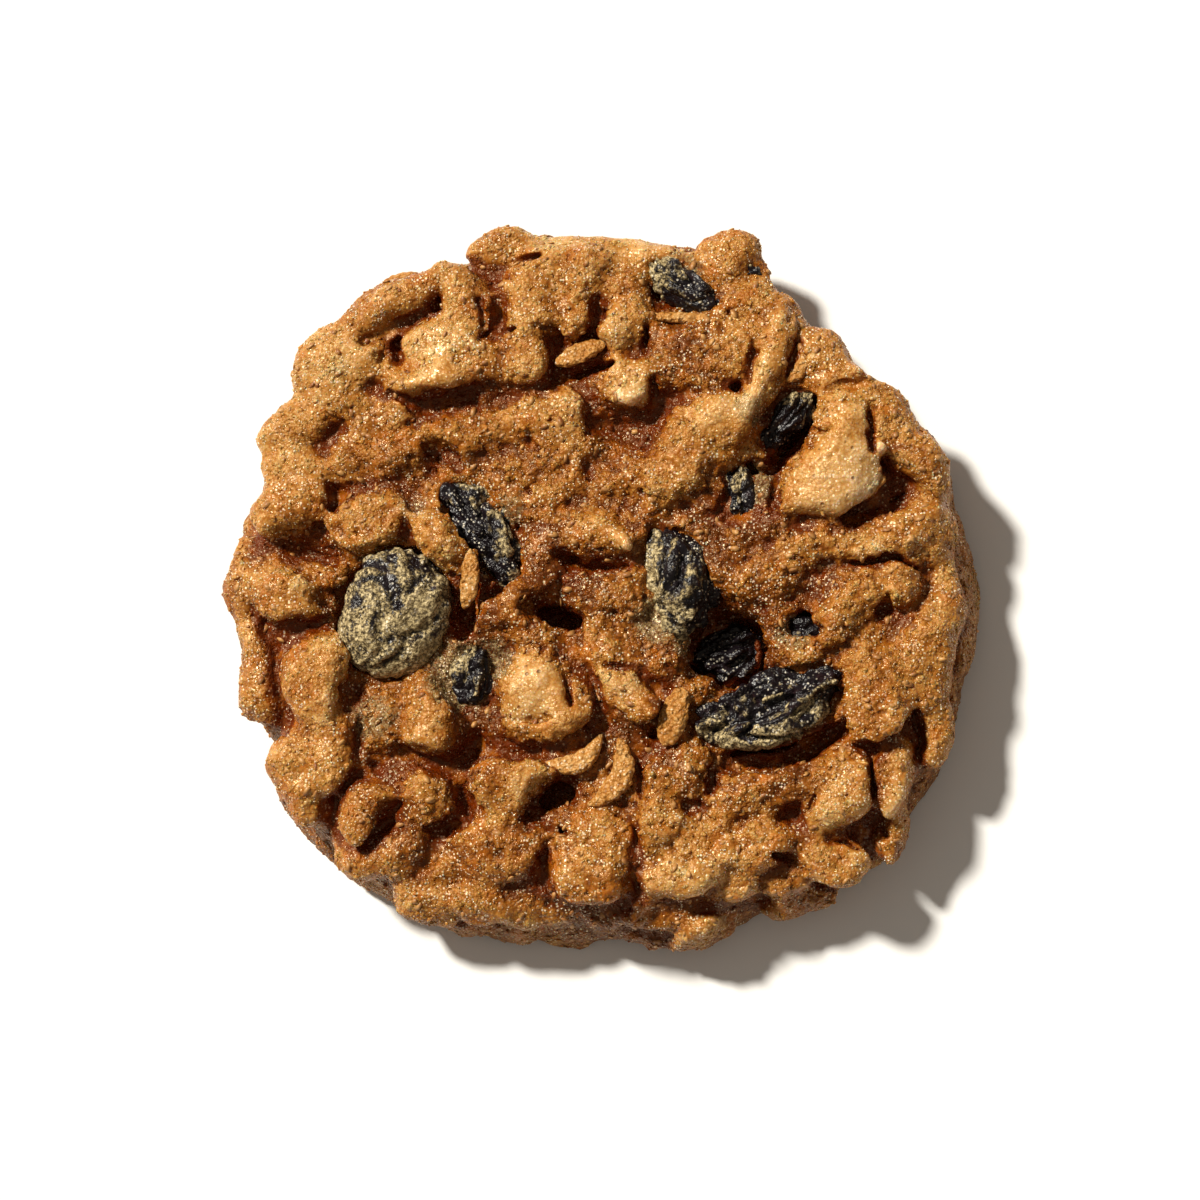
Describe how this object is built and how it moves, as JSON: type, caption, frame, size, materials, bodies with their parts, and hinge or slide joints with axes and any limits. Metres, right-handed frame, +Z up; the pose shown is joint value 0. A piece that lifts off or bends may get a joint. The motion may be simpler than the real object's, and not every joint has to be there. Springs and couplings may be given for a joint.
{
  "type": "oatmeal raisin cookie",
  "caption": "Thick round oatmeal cookie with a flat base, a craggy browned top full of rolled oat flakes, and dark raisins set in pockets of the dough.",
  "frame": {"origin": "middle of the flat base, under the centre of the cookie's bounding box", "axes": "+Z up out of the craggy top, +X to the right and +Y away from the viewer as the cookie lies on a table"},
  "size_m": [0.0799, 0.076, 0.0132],
  "materials": {
    "baked_dough": "browned crust with a fine sugary grain",
    "raisin_skin": "dark wrinkled skin, half covered by a thin floury film",
    "rolled_oat": "pale toasted flake, dull"
  },
  "bodies": {
    "root": {"dough": "baked_dough", "raisin_round": "raisin_skin", "raisin_under_flake": "raisin_skin", "raisin_upright": "raisin_skin", "raisin_sunken": "raisin_skin", "raisin_folded": "raisin_skin", "raisin_torn": "raisin_skin", "raisin_rim": "raisin_skin", "raisin_rim_small": "raisin_skin", "raisin_slit": "raisin_skin", "raisin_wedged": "raisin_skin", "raisin_coated": "raisin_skin", "oat_finger": "rolled_oat", "oat_upright": "rolled_oat", "oat_curl_inner": "rolled_oat", "oat_curl_outer": "rolled_oat", "oat_on_edge": "rolled_oat", "oat_rim_roll": "rolled_oat", "oat_small_curl": "rolled_oat", "oat_under_ledge": "rolled_oat", "oat_torn_edge": "rolled_oat"}
  },
  "joints": []
}
